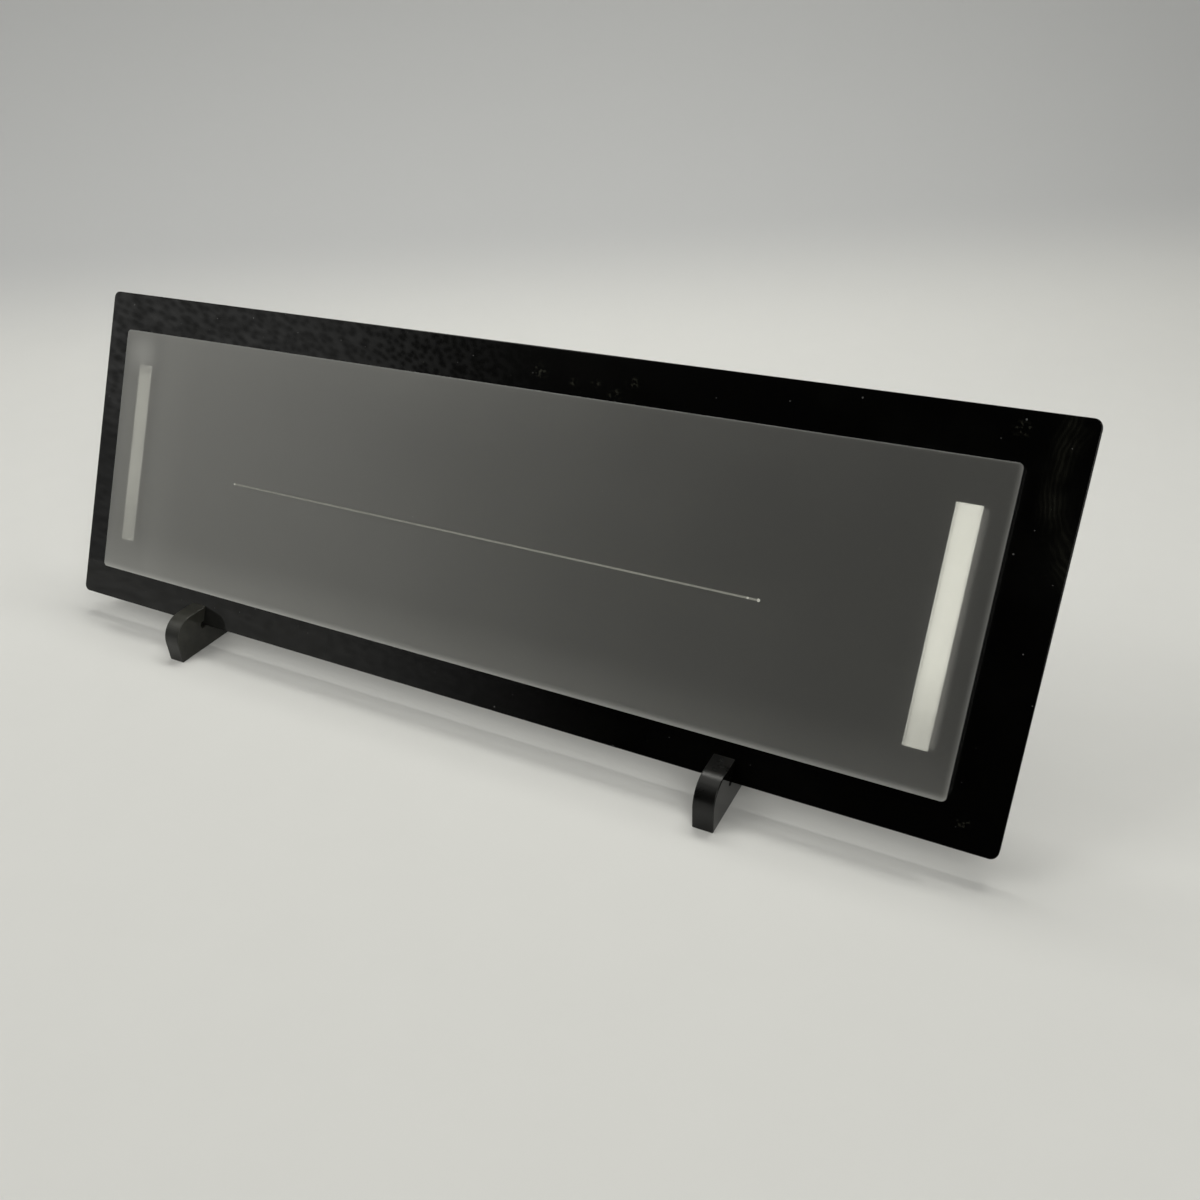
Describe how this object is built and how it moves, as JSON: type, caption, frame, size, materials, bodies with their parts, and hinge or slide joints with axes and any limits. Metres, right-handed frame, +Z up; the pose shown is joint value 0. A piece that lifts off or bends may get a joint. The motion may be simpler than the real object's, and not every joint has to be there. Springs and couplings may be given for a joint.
{
  "type": "desk name plate",
  "caption": "Desk name plate: glossy black acrylic sheet leaning back in slotted feet, with a smaller clear frosted panel taped to its front.",
  "frame": {"origin": "on the desk, under the middle of the whole plate's box", "axes": "+X along the plate to the reader's right, +Y from front to back, +Z up"},
  "size_m": [0.25, 0.0496, 0.0804],
  "materials": {
    "black_acrylic": "polished black acrylic sheet",
    "frosted_acrylic": "clear acrylic sheet with a matt, lightly frosted front",
    "foam_tape": "white closed-cell foam tape"
  },
  "bodies": {
    "name_plate": {"backing_plate": "black_acrylic", "front_panel": "frosted_acrylic", "left_tape_strip": "foam_tape", "right_tape_strip": "foam_tape"},
    "left_foot": {"left_foot": "black_acrylic"},
    "right_foot": {"right_foot": "black_acrylic"}
  },
  "joints": [
    {"name": "left_foot_pull", "type": "slide", "parent": "name_plate", "child": "left_foot", "axis": [0, -0.454, -0.891], "range_m": [0, 0.012]},
    {"name": "right_foot_pull", "type": "slide", "parent": "name_plate", "child": "right_foot", "axis": [0, -0.454, -0.891], "range_m": [0, 0.012]}
  ]
}
